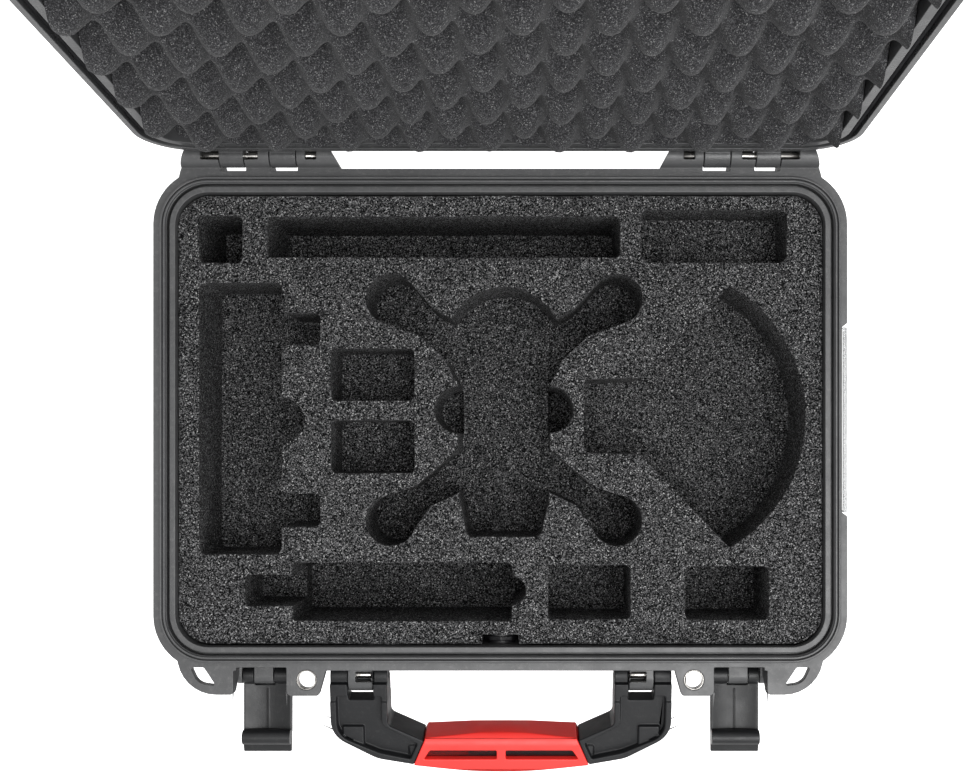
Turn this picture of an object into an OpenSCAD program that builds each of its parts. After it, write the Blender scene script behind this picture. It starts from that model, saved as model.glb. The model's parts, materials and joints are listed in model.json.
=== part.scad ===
// Hard carrying case with a die-cut foam insert for a compact folding drone.
// Millimetres. X runs to the right, Y to the hinges, Z up; the origin is the middle of the base's underside.
// The lid, the latches and the handle are drawn where they rest when the case lies open.

/* [Case] */
// Width of the case over its rim
case_w = 390; // [384:1:480]
// Depth of the case over its rim
case_d = 282; // [280:1:350]
// Height of the base, from its underside to its rim face
base_h = 110; // [100:1:150]
// Height of the lid, from its rim face to its top
lid_h = 45; // [44:1:70]
// Corner radius of the rim
rim_r = 31; // [28:0.5:40]
// How far the open lid has turned from closed, in degrees
lid_open = 95; // [0:1:100]

/* [Shells] */
// Thickness of the side walls
wall = 3.2; // [2.4:0.1:4]
// Thickness of the base's floor and of the lid's top
floor_t = 4; // [3:0.5:6]
// Radius of the edge between floor and walls
edge_r = 12; // [8:0.5:14]
// How far each wall leans in between rim and floor
draft = 1.5; // [0.5:0.1:2]
// Thickness of the raised stiffening ribs outside
rib_t = 2.5; // [1:0.5:3]

/* [Rim] */
// Thickness of the base's rim flange
rim_t = 12; // [10:0.5:14]
// Thickness of the lid's rim flange
lid_rim_t = 10; // [8:0.5:12]
// Width of the outer land at the left and right
land_side = 3.4; // [3:0.1:4.5]
// Width of the outer land at the front and back
land_front = 4.2; // [3.5:0.1:7]
// Width of the band that holds the two sealing tongues
tongue_band = 4.2; // [3.6:0.1:5]
// Height of the sealing tongues over the rim face
tongue_h = 1.6; // [1:0.1:2.2]
// Width of the groove inside the tongues
groove_w = 1.6; // [1.2:0.1:2]
// Depth of that groove
groove_depth = 5; // [2:0.5:6]
// Depth of the channel for the seal in the lid's rim
seal_depth = 5; // [4:0.5:6]
// Width of the inner land
inner_land = 3.3; // [2.8:0.1:4.5]
// Gap between the two rims when the lid is shut
rim_gap = 0.5; // [0.3:0.1:1]

/* [Foam] */
// How far the foam's top lies below the rim face
foam_drop = 5; // [4:0.5:8]
// Thickness of the cut foam insert
insert_t = 74; // [72:1:110]
// Gap between the foam and the walls at the front and back
foam_gap = 0.4; // [0.2:0.1:3]
// Height of the egg-crate foam's peaks
crate_h = 24; // [18:1:24]
// Distance between neighbouring peaks of the egg-crate foam
crate_pitch = 37.9; // [36:0.1:44]
// How far those peaks stand out past the lid's rim face
crate_proud = 3.5; // [1:0.5:3.5]

/* [Hinges] */
// Distance from the side of the rim to the middle of a hinge
hinge_inset = 58; // [55:1:70]
// Length of a hinge along its pin
hinge_w = 80; // [74:1:90]
// Distance from the back of the rim to the hinge pins
hinge_reach = 7; // [7:0.5:9]
// Diameter of the hinge pins
hinge_pin_d = 4; // [3:0.1:5]
// Outer radius of the hinge knuckles
knuckle_r = 6.4; // [5:0.1:6.5]

/* [Latches] */
// Distance from the side of the rim to the middle of a latch
latch_inset = 60.7; // [59:0.1:75]
// Width of a latch
latch_w = 27.4; // [24:0.2:27.8]
// Diameter of the latch pins
latch_pin_d = 4; // [3:0.1:5]
// Thickness of a latch's web
latch_t = 3; // [2.5:0.1:4]
// Distance from a latch's claw to its tip
latch_tip = 13; // [11:0.5:18]

/* [Handle] */
// Half the width over the handle's arms
handle_half = 97.7; // [90:0.1:98]
// Width of one arm of the handle
arm_w = 32.8; // [28:0.2:36]
// Reach of the handle from its pins to the outside of the grip
handle_reach = 55.2; // [50:0.2:66]
// Thickness of the handle's arms
arm_t = 22; // [18:0.5:22]
// Diameter of the handle pins
handle_pin_d = 4; // [3:0.1:5]
// How far the resting handle hangs below level, in degrees
handle_droop = 14; // [0:1:30]

/* [Ears] */
// Thickness of the strap ears and padlock ears
ear_t = 6; // [4:0.5:8]
// Reach of the ears from the front of the rim
ear_reach = 13.6; // [12:0.2:16]
// Diameter of the hole that a padlock's shackle goes through
padlock_d = 9.8; // [7:0.1:10]
// Wall of the steel sleeve in each padlock hole
sleeve_t = 0.8; // [0.5:0.1:1.2]

/* [Fittings] */
// Diameter of the pressure valve's flange
valve_d = 21; // [16:0.5:22]
// Length of the name tag on the right side
tag_len = 104; // [80:1:120]
// Height of the name tag
tag_h = 22; // [16:1:26]

/* [Clearances] */
// Radial clearance of a pin in a piece that turns on it
run_gap = 0.06; // [0.02:0.01:0.1]
// Clearance beside a turning piece
side_gap = 0.4; // [0.3:0.05:0.6]

/* [Hidden] */

$fn = 64;
// Facets of the circles inside hulls
hull_fn = 48;
// Overlap that joins two shapes of one piece
join = 0.5;
// Oversize of a cut that runs out through a face
past = 1;

half_w = case_w / 2;
half_d = case_d / 2;

// The rim's rings, each as its inset from the outer land's inner edge
ring_w = case_w - 2 * land_side;
ring_d = case_d - 2 * land_front;
ring_r = rim_r - land_side;
groove_in = tongue_band + groove_w;
cavity_in = groove_in + inner_land;
cavity_w = ring_w - 2 * cavity_in;
cavity_d = ring_d - 2 * cavity_in;
cavity_r = ring_r - cavity_in;
body_w = cavity_w + 2 * wall;
body_d = cavity_d + 2 * wall;
body_r = cavity_r + wall;

// Heights of the foam layers
foam_top = base_h - foam_drop;
insert_bottom = foam_top - insert_t;
foam_side_gap = 0.3;
// How far the leaning walls have come in at the insert's underside
foam_lean = draft * (base_h - insert_bottom) / base_h;
foam_w = cavity_w - 2 * (foam_lean + foam_side_gap);
foam_d = cavity_d - 2 * (foam_lean + foam_gap);
pad_inset = 4;
lid_foam_inset = 1.1;

// Hinges
hinge_x = half_w - hinge_inset;
hinge_y = half_d + hinge_reach;
hinge_slot_r = knuckle_r + 1.8;
hinge_root = half_d - body_d / 2 + 1;
// Spans of the lid's knuckles and of the windows over the pin, from the hinge's middle outwards
lid_knuckles = [[6.2, 19.7], [-22.9, -8.4]];
pin_windows = [[20.1, 30.1], [-1.9, 5.8], [-34.5, -28.3]];
window_depth = 4;

// Latches and handle turn on one line in front of the body
pivot_y = -half_d - 5.5;
pivot_z = base_h - 20;
latch_x = half_w - latch_inset;
latch_barrel_r = 5;
latch_lug_w = 11;
latch_lug_shift = 1.7;
// Gap round a lug, and width of the outer lug that holds the end of a latch pin
lug_gap = 0.8;
outer_lug_w = 3;
claw_start = base_h + rim_gap + lid_rim_t - pivot_z + 0.5;
claw_r = 4.2;
latch_rail_h = 1.8;
latch_dish_r = 46;
bay_w = latch_w + 2 * side_gap;
bay_depth = 1.8;

handle_slot_w = 14.6;
handle_slot_x = handle_half - 10.1 - handle_slot_w / 2;
handle_lug_w = handle_slot_w - 2 * side_gap;
handle_barrel_r = 6.4;
handle_lug_r = 9;
handle_slot_len = 13;
arm_start = 2;
arm_step = 12.4;
arm_thin = arm_t - 3;
arm_recess = 5;
recess_start = 9.5;
grip_inner = handle_reach - 20.6;
// How far the grip bulges at its middle, away from the case and towards it
grip_bulge = 2;
grip_arch = 3.4;
grip_t = arm_t + 2;
grip_half_in = 44.5;
grip_half_out = 50.5;
core_from = handle_reach - 14;
core_to = handle_reach - 5;
core_t = 14;
slot_from = handle_reach - 13.2;
slot_to = handle_reach - 7.8;

// Ears
strap_ear_x = half_w - 13.4;
// Edges of the ears beside a latch, from the case's middle
latch_outside = latch_x + latch_w / 2 + side_gap;
latch_inside = latch_x - latch_w / 2 - side_gap;
strap_ear_w = strap_ear_x - latch_outside - 1.6;
padlock_x = latch_inside - 11.4;
padlock_y = -half_d - 5.2;
gusset_t = 3.4;
gusset_h = 32;

// Valve
valve_z = base_h - 22;
valve_r = valve_d / 2;
valve_stem_r = 7.5;
valve_boss_t = 1.4;
valve_face_y = -body_d / 2 - valve_boss_t;
washer_t = 1;
nut_t = 4;
nut_r = valve_r - 1.2;
valve_disc_r = 5;

// Name tag
tag_t = 3;
card_t = 0.5;
tag_top = base_h - 0.5;
tag_x = half_w - tag_t;

function unit(v) = v / norm(v);

// Angle from a to b, between -180 and 180 degrees
function turn(a, b) = let (d = b - a) d > 180 ? d - 360 : d < -180 ? d + 360 : d;

// Points of a circular arc
function arc(centre, r, from, to, n = 24) =
    [for (i = [0 : n]) let (a = from + (to - from) * i / n) centre + r * [cos(a), sin(a)]];

// The points that round off corner b, [x, y, radius], between its neighbours a and c
function corner(a, b, c, n) =
    let (
        p = [b.x, b.y],
        u = unit([a.x, a.y] - p),
        v = unit([c.x, c.y] - p),
        half = acos(u * v) / 2,
        centre = p + unit(u + v) * b[2] / sin(half),
        from = p + u * b[2] / tan(half) - centre,
        to = p + v * b[2] / tan(half) - centre,
        start = atan2(from.y, from.x)
    )
    arc(centre, b[2], start, start + turn(start, atan2(to.y, to.x)), n);

// An outline of [x, y, radius] corners as points
function rounded(pts, n = 8) =
    let (count = len(pts))
    [for (i = [0 : count - 1])
        each pts[i][2] > 0
            ? corner(pts[(i + count - 1) % count], pts[i], pts[(i + 1) % count], n)
            : [[pts[i].x, pts[i].y]]];

function mirrored(pts) = [for (p = pts) [-p.x, p.y, p[2]]];

// Rectangle with round corners, about the origin
module round_rect(w, d, r) {
    square([w - 2 * r, d], center = true);
    square([w, d - 2 * r], center = true);
    for (x = [-1, 1], y = [-1, 1])
        translate([x * (w / 2 - r), y * (d / 2 - r)]) circle(r = r);
}

// Rectangular frame that lies between two insets from the outer land's inner edge
module rim_ring(from, to) {
    difference() {
        round_rect(ring_w - 2 * from, ring_d - 2 * from, ring_r - from);
        round_rect(ring_w - 2 * to, ring_d - 2 * to, ring_r - to);
    }
}

// Upright tub with a round bottom edge and walls that lean out by lean towards the top
module tub(w, d, h, r, e, lean) {
    hull() {
        for (a = [0 : 18 : 90]) {
            inset = lean + e * (1 - sin(a));
            translate([0, 0, e * (1 - cos(a))])
                linear_extrude(0.01)
                    round_rect(w - 2 * inset, d - 2 * inset, max(r - inset, 1), $fn = hull_fn);
        }
        translate([0, 0, h - 0.01])
            linear_extrude(0.01) round_rect(w, d, r, $fn = hull_fn);
    }
}

// An outline in the Y-Z plane, drawn out along X from one place to another
module along_x(from, to) {
    translate([from, 0, 0])
        rotate([90, 0, 90]) linear_extrude(to - from) children();
}

module rod_x(from, to, y, z, r) {
    translate([from, y, z]) rotate([0, 90, 0]) cylinder(r = r, h = to - from);
}

// Both sides of the case: the left one is drawn and the right one mirrored
module on_side(side) {
    if (side < 0) children();
    else mirror([1, 0, 0]) children();
}

module both_sides() {
    for (side = [-1, 1]) on_side(side) children();
}

// Moves a piece of the closed lid to where the open lid holds it
module open_lid() {
    translate([0, hinge_y, base_h])
        rotate([-lid_open, 0, 0])
            translate([0, -hinge_y, -base_h]) children();
}

module at_handle() {
    translate([0, pivot_y, pivot_z]) rotate([handle_droop, 0, 0]) children();
}

// ---- Base shell ----

module hinge_plan() {
    polygon([
        [-hinge_w / 2 - 5, half_d - hinge_root],
        [hinge_w / 2 + 10, half_d - hinge_root],
        [hinge_w / 2 + 7, half_d + 1],
        [hinge_w / 2, hinge_y + knuckle_r],
        [-hinge_w / 2 + 2, hinge_y + knuckle_r],
        [-hinge_w / 2 - 3, half_d - 2]
    ]);
}

module hinge_profile() {
    translate([hinge_y, base_h]) circle(r = knuckle_r);
    polygon([
        [half_d - hinge_root, base_h],
        [half_d - hinge_root, base_h - 20],
        [half_d + 1, base_h - 20],
        [hinge_y + knuckle_r - 1, base_h - 3],
        [hinge_y, base_h]
    ]);
}

module base_hinge() {
    translate([-hinge_x, 0, 0])
        intersection() {
            along_x(-hinge_w, hinge_w) hinge_profile();
            translate([0, 0, base_h - 30]) linear_extrude(60) hinge_plan();
        }
}

module base_hinge_cuts() {
    translate([-hinge_x, 0, 0]) {
        for (k = lid_knuckles) {
            rod_x(-k[1] - side_gap, -k[0] + side_gap, hinge_y, base_h, hinge_slot_r);
            translate([-k[1] - side_gap, hinge_y - hinge_slot_r, base_h - 30])
                cube([k[1] - k[0] + 2 * side_gap, hinge_slot_r + knuckle_r + past, 30 + past]);
        }
        for (k = pin_windows)
            translate([-k[1], hinge_y - 3, base_h - window_depth])
                cube([k[1] - k[0], 6, window_depth + knuckle_r + past]);
        rod_x(-hinge_w / 2 - past, hinge_w / 2 + past, hinge_y, base_h, hinge_pin_d / 2);
    }
}

module strap_ear_outline() {
    out = -half_d - ear_reach;
    polygon(rounded([
        [-strap_ear_x, -half_d + 14, 0],
        [-strap_ear_x, out, 22],
        [-strap_ear_x + strap_ear_w, out, 2],
        [-strap_ear_x + strap_ear_w, -half_d + 14, 0]
    ]));
}

module strap_slot_outline() {
    polygon(rounded([
        [-strap_ear_x + 7.6, -half_d + 1.8, 0.8],
        [-strap_ear_x + 15, -half_d + 1.8, 1.5],
        [-strap_ear_x + 21.8, -half_d - ear_reach + 5.2, 0.8],
        [-strap_ear_x + 11.5, -half_d - ear_reach + 6.6, 8]
    ]));
}

module padlock_ear_outline() {
    out = -half_d - ear_reach - 0.6;
    polygon(rounded([
        [-latch_inside, -half_d + 3, 0],
        [-latch_inside, out, 3],
        [-padlock_x + 6.8, out, 2],
        [-padlock_x + 11.6, -half_d + 3, 0]
    ]));
}

// Triangular rib below an ear, from the body to the ear's edge
module gusset(x) {
    along_x(x, x + gusset_t)
        polygon([
            [-body_d / 2 + draft + join, base_h - join],
            [-half_d - ear_reach + 1, base_h - join],
            [-half_d - ear_reach + 1, base_h - ear_t - 2],
            [-body_d / 2 + draft + join, base_h - gusset_h]
        ]);
}

module base_ears() {
    translate([0, 0, base_h - ear_t]) linear_extrude(ear_t) strap_ear_outline();
    translate([0, 0, base_h - ear_t]) linear_extrude(ear_t) padlock_ear_outline();
    for (x = [strap_ear_w - strap_ear_x - gusset_t, -latch_inside, 6.8 - padlock_x - gusset_t]) {
        gusset(x);
        guard_rib(x);
    }
}

module base_ear_cuts() {
    translate([0, 0, base_h - gusset_h]) linear_extrude(gusset_h + past) strap_slot_outline();
    translate([-padlock_x, padlock_y, base_h - ear_t - past])
        cylinder(r = padlock_d / 2 + sleeve_t, h = ear_t + 2 * past);
    translate([-latch_x - bay_w / 2, -half_d - past, base_h - rim_t - past])
        cube([bay_w, bay_depth + past, rim_t + 2 * past]);
}

// Lug on the body's front wall that carries a pin, with a root that goes down by drop
module front_lug(x, w, r, drop) {
    along_x(x - w / 2, x + w / 2) {
        translate([pivot_y, pivot_z]) circle(r = r);
        polygon([
            [-body_d / 2 + draft + join, pivot_z + r - 1],
            [pivot_y, pivot_z + r],
            [pivot_y, pivot_z - r],
            [-body_d / 2 + draft + join, pivot_z - drop]
        ]);
    }
}

module base_lugs() {
    front_lug(-latch_x - latch_lug_shift, latch_lug_w, latch_barrel_r, 15);
    front_lug(-latch_outside - outer_lug_w / 2, outer_lug_w, latch_barrel_r, 15);
    front_lug(-handle_slot_x, handle_lug_w, handle_lug_r, handle_slot_len);
}

module base_lug_cuts() {
    rod_x(-latch_x - latch_w, -latch_x + latch_w, pivot_y, pivot_z, latch_pin_d / 2);
    rod_x(-handle_half, -handle_half + arm_w, pivot_y, pivot_z, handle_pin_d / 2);
    translate([-handle_slot_x - 2.6, pivot_y - 3, pivot_z - 1])
        cube([9, 6, handle_lug_r + 1 + past]);
}

// Upright ribs on the outside of the walls, and short ones that hold up the rim flange
module base_ribs() {
    rib_w = 14;
    rib_z = edge_r + 4;
    rib_h = base_h - rim_t - rib_z + join;
    root = draft + 2;
    for (x = [0, 1], y = [-1, 1])
        mirror([x, 0, 0])
            translate([body_w / 2 - root, y * body_d / 3.2 - rib_w / 2, rib_z])
                cube([rib_t + root, rib_w, rib_h]);
    for (x = [-1, 1])
        translate([x * hinge_x - rib_w / 2, body_d / 2 - root, rib_z])
            cube([rib_w, rib_t + root, rib_h]);
    for (y = [-4 : 4])
        translate([-half_w + 3, y * 26 - 1.2, base_h - rim_t - 8])
            cube([half_w - body_w / 2 - 1, 2.4, 9]);
    for (x = [-4 : 4])
        translate([x * 21 - 1.2, body_d / 2 - 2, base_h - rim_t - 8])
            cube([2.4, half_d - body_d / 2 - 1, 9]);
}

// Upright rib on the front wall, below a gusset
module guard_rib(x) {
    translate([x, -body_d / 2 - rib_t, edge_r + 8])
        cube([gusset_t, rib_t + draft + 2, base_h - rim_t - edge_r - 8]);
}

// Shallow grooves in the underside, which leave a flat face to stand on
module underside_grooves() {
    for (x = [-3 : 3])
        if (x != 0)
            translate([x * 46 - 2, -body_d / 2 + 45, -past])
                cube([4, body_d - 90, 1.5 + past]);
}

module tag_seat() {
    translate([body_w / 2 - 2, -tag_len / 2 - 2, base_h - tag_h - 2])
        cube([tag_x - body_w / 2 + 2, tag_len + 4, tag_h - rim_t + 4]);
}

module tag_cut() {
    translate([0, 0, base_h - tag_h - 4])
        linear_extrude(tag_h + 4 + past)
            polygon([
                [tag_x, -tag_len / 2],
                [half_w + past, -tag_len / 2 - tag_t],
                [half_w + past, tag_len / 2 + tag_t],
                [tag_x, tag_len / 2]
            ]);
}

module base_shell() {
    color("dimgray")
        difference() {
            union() {
                tub(body_w, body_d, base_h, body_r, edge_r, draft);
                translate([0, 0, base_h - rim_t]) linear_extrude(rim_t) round_rect(case_w, case_d, rim_r);
                translate([0, 0, base_h - join])
                    linear_extrude(tongue_h + join) rim_ring(0.5, tongue_band / 2 - 0.3);
                translate([0, 0, base_h - join])
                    linear_extrude(tongue_h + join) rim_ring(tongue_band / 2 + 0.3, tongue_band - 0.5);
                translate([0, valve_face_y, valve_z])
                    rotate([-90, 0, 0]) cylinder(r = valve_r + 2.5, h = valve_boss_t + wall - 0.5);
                both_sides() {
                    base_hinge();
                    base_ears();
                    base_lugs();
                }
                base_ribs();
                tag_seat();
            }
            translate([0, 0, floor_t])
                tub(cavity_w, cavity_d, base_h - floor_t + past, cavity_r, edge_r - wall, draft);
            translate([0, 0, base_h - groove_depth])
                linear_extrude(groove_depth + past) rim_ring(tongue_band, groove_in);
            translate([0, valve_face_y - past, valve_z])
                rotate([-90, 0, 0]) cylinder(r = valve_stem_r, h = wall + draft + valve_boss_t + 3 * past);
            both_sides() {
                base_hinge_cuts();
                base_ear_cuts();
                base_lug_cuts();
            }
            tag_cut();
            underside_grooves();
        }
}

// ---- Lid ----

module lid_knuckle(k) {
    along_x(-hinge_x - k[1], -hinge_x - k[0])
        difference() {
            union() {
                translate([hinge_y, base_h]) circle(r = knuckle_r);
                polygon([
                    [half_d - 2, base_h + rim_gap],
                    [hinge_y, base_h + rim_gap],
                    [hinge_y, base_h + knuckle_r],
                    [half_d - 2, base_h + rim_gap + lid_rim_t - 1]
                ]);
            }
            translate([hinge_y, base_h]) circle(r = hinge_pin_d / 2 + run_gap);
        }
}

// Raised frame and bars on the lid's top
module lid_ribs() {
    bar_w = 12;
    frame_w = body_w - 2 * (edge_r + draft + 8);
    frame_d = body_d - 2 * (edge_r + draft + 8);
    translate([0, 0, base_h + rim_gap + lid_h - join])
        linear_extrude(rib_t + join) {
            difference() {
                round_rect(frame_w, frame_d, 18);
                round_rect(frame_w - 2 * bar_w, frame_d - 2 * bar_w, 12);
            }
            for (x = [-2 : 2])
                translate([x * frame_w / 6.4, 0]) round_rect(bar_w, frame_d - 4 * bar_w, 5);
        }
}

module lid_shell() {
    rim_z = base_h + rim_gap;
    color("dimgray") open_lid()
        difference() {
            union() {
                translate([0, 0, rim_z + lid_h])
                    mirror([0, 0, 1]) tub(body_w, body_d, lid_h, body_r, edge_r, draft);
                translate([0, 0, rim_z]) linear_extrude(lid_rim_t) round_rect(case_w, case_d, rim_r);
                both_sides() {
                    translate([0, 0, rim_z]) linear_extrude(ear_t) padlock_ear_outline();
                    for (k = lid_knuckles) lid_knuckle(k);
                }
                lid_ribs();
            }
            translate([0, 0, rim_z + lid_h - floor_t])
                mirror([0, 0, 1])
                    tub(cavity_w, cavity_d, lid_h - floor_t + past, cavity_r, edge_r - wall, draft);
            translate([0, 0, rim_z - past])
                linear_extrude(seal_depth + past) rim_ring(0, tongue_band);
            both_sides()
                translate([-padlock_x, padlock_y, rim_z - past])
                    cylinder(r = padlock_d / 2 + sleeve_t, h = ear_t + 2 * past);
        }
}

module lid_seal() {
    color("black") open_lid()
        translate([0, 0, base_h + tongue_h + 0.4])
            linear_extrude(rim_gap + seal_depth - tongue_h - 0.4) rim_ring(0, tongue_band);
}

// ---- Foam ----

// Rectangular pockets: left, right, front, back, depth and corner radius
box_pockets = [
    [-170.3, -146, 88.9, 115.5, 66, 3],
    [-131.8, 67.5, 92, 115, 68, 3],
    [79.4, 162, 89.1, 118.9, 36, 5],
    [-95.8, -48.8, 10.8, 40.3, 43, 3],
    [-95.8, -48.8, -30, -0.3, 43, 3],
    [27, 73.5, -112.7, -82.1, 52, 3],
    [104.5, 151.8, -113, -82.9, 52, 3]
];

module box_outline(p) {
    translate([(p[0] + p[1]) / 2, (p[2] + p[3]) / 2]) round_rect(p[1] - p[0], p[3] - p[2], p[5]);
}

// Pocket of the remote control, with two finger tabs and a round finger hole
controller_depth = 55;
module controller_outline() {
    polygon(rounded([
        [-170.3, -75.9, 4], [-123.9, -75.9, 4],
        [-123.9, -60.4, 1.5], [-102.1, -60.4, 3], [-102.1, -41.9, 3], [-123.9, -41.9, 1.5],
        [-123.9, 42.5, 1.5], [-102.1, 42.5, 3], [-102.1, 60.6, 3], [-123.9, 60.6, 1.5],
        [-123.9, 77.6, 4], [-170.3, 77.6, 4]
    ]));
    translate([-123.9, 0]) circle(r = 12.7);
}

// Pocket of the folded drone: body, round nose and four arms with round ends
drone_x = 2;
drone_depth = 52;
drone_half = 26;
module drone_outline() {
    polygon(rounded([
        [-drone_half, 50, 0], [-drone_half, -41.3, 2], [-20.8, -66, 4],
        [20.8, -66, 4], [drone_half, -41.3, 2], [drone_half, 50, 0]
    ]));
    translate([0, 41.9]) circle(r = 33.4);
    for (s = [-1, 1]) {
        translate([s * 64, 68.5]) circle(r = 14.2);
        translate([s * 64, -57]) circle(r = 14.2);
        polygon([
            [s * 70, 55.6], [s * 47.8, 47.8], [s * 26, 27.7],
            [s * 20, 50], [s * 29, 57], [s * 39.8, 62.9], [s * 54, 78.5]
        ]);
        polygon([
            [s * 66, -43], [s * 50.3, -37.9], [s * 26, -16.6],
            [s * 20, -30], [s * 26, -41.3], [s * 41.2, -48.5], [s * 54.6, -67.5]
        ]);
    }
}

// Half-round finger wells at both sides of the drone's body
finger_depth = 66;
module finger_outline() {
    difference() {
        for (s = [-1, 1]) translate([s * (drone_half + 0.3), 5.8]) circle(r = 13);
        square([2 * drone_half - join, 60], center = true);
    }
}

// Fan-shaped pocket with a straight neck
fan_depth = 52;
module fan_outline() {
    polygon(concat(
        rounded([[78.8, -19.3, 0], [47.3, -18.3, 3], [47.3, 22.9, 3], [78.8, 23.8, 0], [129.5, 75.9, 0]]),
        arc([87.3, 1.7], 85.2, 60.3, -60.3),
        [[129.5, -72.2]]
    ));
}

// Long pocket at the front, with a shallow step at its left and a round finger hole at its right
front_depth = 68;
front_step_depth = 50;
module front_outline() {
    translate([-55.6, -97.2]) round_rect(124.4, 33.1, 2.5);
    translate([6.3, -96.5]) circle(r = 8.2);
}
front_step = [-144.5, -115, -105.3, -87.5, front_step_depth, 3];

module pocket(depth) {
    translate([0, 0, foam_top - depth]) linear_extrude(depth + past) children();
}

module foam_insert() {
    color("#3a3b3d")
        difference() {
            translate([0, 0, insert_bottom])
                linear_extrude(insert_t) round_rect(foam_w, foam_d, cavity_r - draft);
            for (p = box_pockets) pocket(p[4]) box_outline(p);
            pocket(controller_depth) controller_outline();
            translate([drone_x, 0, 0]) {
                pocket(drone_depth) drone_outline();
                pocket(finger_depth) finger_outline();
            }
            pocket(fan_depth) fan_outline();
            pocket(front_depth) front_outline();
            pocket(front_step_depth) box_outline(front_step);
            translate([-nut_r - 1, -cavity_d / 2 - past, valve_z - nut_r - 2])
                cube([2 * nut_r + 2, draft + nut_t + 1 + past, insert_t]);
        }
}

// Block of foam on a narrower foot, which clears the round edge between floor and walls
module foam_slab(w, d, r, h) {
    foot_in = edge_r - wall;
    foot_h = 0.6 * (edge_r - wall);
    linear_extrude(h) round_rect(w - 2 * foot_in, d - 2 * foot_in, r - foot_in);
    translate([0, 0, foot_h]) linear_extrude(h - foot_h) round_rect(w, d, r);
}

module foam_base_pad() {
    color("#303133")
        translate([0, 0, floor_t])
            foam_slab(
                foam_w - 2 * pad_inset, foam_d - 2 * pad_inset,
                cavity_r - draft - pad_inset, insert_bottom - floor_t
            );
}

module lid_foam() {
    top = base_h + rim_gap + lid_h - floor_t;
    tip = base_h + rim_gap - crate_proud;
    root = tip + crate_h;
    w = foam_w - 2 * lid_foam_inset;
    d = foam_d - 2 * lid_foam_inset;
    r = cavity_r - draft - lid_foam_inset;
    columns = ceil(w / 2 / crate_pitch);
    rows = ceil(d / 2 / crate_pitch);
    color("#3a3b3d") open_lid() {
        translate([0, 0, top]) mirror([0, 0, 1]) foam_slab(w, d, r, top - root);
        intersection() {
            translate([0, 0, tip - past]) linear_extrude(crate_h + 3 * past) round_rect(w, d, r);
            for (x = [-columns : columns], y = [-rows : rows], half = [0, 0.5])
                translate([(x + half) * crate_pitch, (y + half) * crate_pitch, tip])
                    cylinder(r1 = 6, r2 = 12.5, h = crate_h + join);
        }
    }
}

// ---- Pins ----

module hinge_pin(side) {
    color("silver") on_side(side)
        rod_x(-hinge_x - hinge_w / 2 + 2, -hinge_x + hinge_w / 2 - 2, hinge_y, base_h, hinge_pin_d / 2);
}

module latch_pin(side) {
    color("silver") on_side(side)
        rod_x(-latch_outside - outer_lug_w, -latch_x + latch_w / 2 - 0.5, pivot_y, pivot_z, latch_pin_d / 2);
}

module handle_pin(side) {
    color("silver") on_side(side)
        rod_x(-handle_half + 1, -handle_half + arm_w - 1, pivot_y, pivot_z, handle_pin_d / 2);
}

// ---- Latches ----

// Side view of the web, the claw and the tip of an open latch, from its pin
module latch_web_outline() {
    polygon(rounded([
        [-latch_barrel_r + 2, -latch_t, 0],
        [-latch_barrel_r + 2, 0, 0],
        [-claw_start - 1, 0, 1],
        [-claw_start - 1, latch_rail_h, 0],
        [-claw_start - 4, latch_rail_h, 0],
        [-claw_start - 7, -latch_t, 4]
    ], 4));
}

module latch_claw_outline() {
    translate([-claw_start - claw_r, latch_rail_h + 2.2]) circle(r = claw_r);
    polygon([
        [-claw_start, -latch_t + 1],
        [-claw_start, latch_rail_h + 2.2],
        [-claw_start - 2 * claw_r, latch_rail_h + 2.2],
        [-claw_start - 7, -latch_t + 1]
    ]);
    polygon(rounded([
        [-claw_start - 5, -latch_t + 1, 0],
        [-claw_start - 5, latch_rail_h + 3, 0],
        [-claw_start - claw_r - 4, latch_rail_h + 1, 0],
        [-claw_start - latch_tip, latch_rail_h - 0.4, 1.2],
        [-claw_start - latch_tip, latch_rail_h - 3.4, 1.2]
    ], 4));
}

// The arm from barrel to claw, dished along its length, with a fine rib down its middle
module latch_arm() {
    difference() {
        translate([-latch_w / 2, -claw_start - 2, -latch_t])
            cube([latch_w, claw_start + 2, latch_t + latch_rail_h]);
        translate([0, past, latch_dish_r]) rotate([90, 0, 0])
            cylinder(r = latch_dish_r, h = claw_start + 4, $fn = 180);
    }
    translate([-0.3, -claw_start - 1, -1]) cube([0.6, claw_start - latch_barrel_r - 2, 1.3]);
}

module latch(side) {
    lug = latch_lug_w / 2 + side_gap;
    color("#3c3d40") on_side(side)
        translate([-latch_x, pivot_y, pivot_z])
            difference() {
                union() {
                    along_x(-latch_w / 2, latch_w / 2) latch_web_outline();
                    along_x(-latch_w / 2, latch_w / 2) latch_claw_outline();
                    latch_arm();
                    rod_x(-latch_w / 2, latch_w / 2, 0, 0, latch_barrel_r);
                }
                rod_x(-latch_lug_shift - lug, -latch_lug_shift + lug, 0, 0, latch_barrel_r + lug_gap);
                rod_x(-latch_w, latch_w, 0, 0, latch_pin_d / 2 + run_gap);
            }
}

// ---- Handle ----

// Plan of the left arm from its pin, drawn in by an inset
module arm_outline(inset, start) {
    slant = handle_reach - 7.6;
    polygon(rounded([
        [-handle_half + inset, -start, 0],
        [-handle_half + inset, -slant + 14.3, 15 - inset],
        [-handle_half + 26.1 + inset / 2, -slant + inset, 20],
        [-grip_half_out - inset / 2, -handle_reach + 3.8 + inset, 0],
        [-grip_half_in - inset, -grip_inner - 1.8 - inset / 2, 0],
        [-handle_half + arm_w - inset, -slant + 21, 4],
        [-handle_half + arm_w - inset, -start, 0]
    ]));
}

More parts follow.
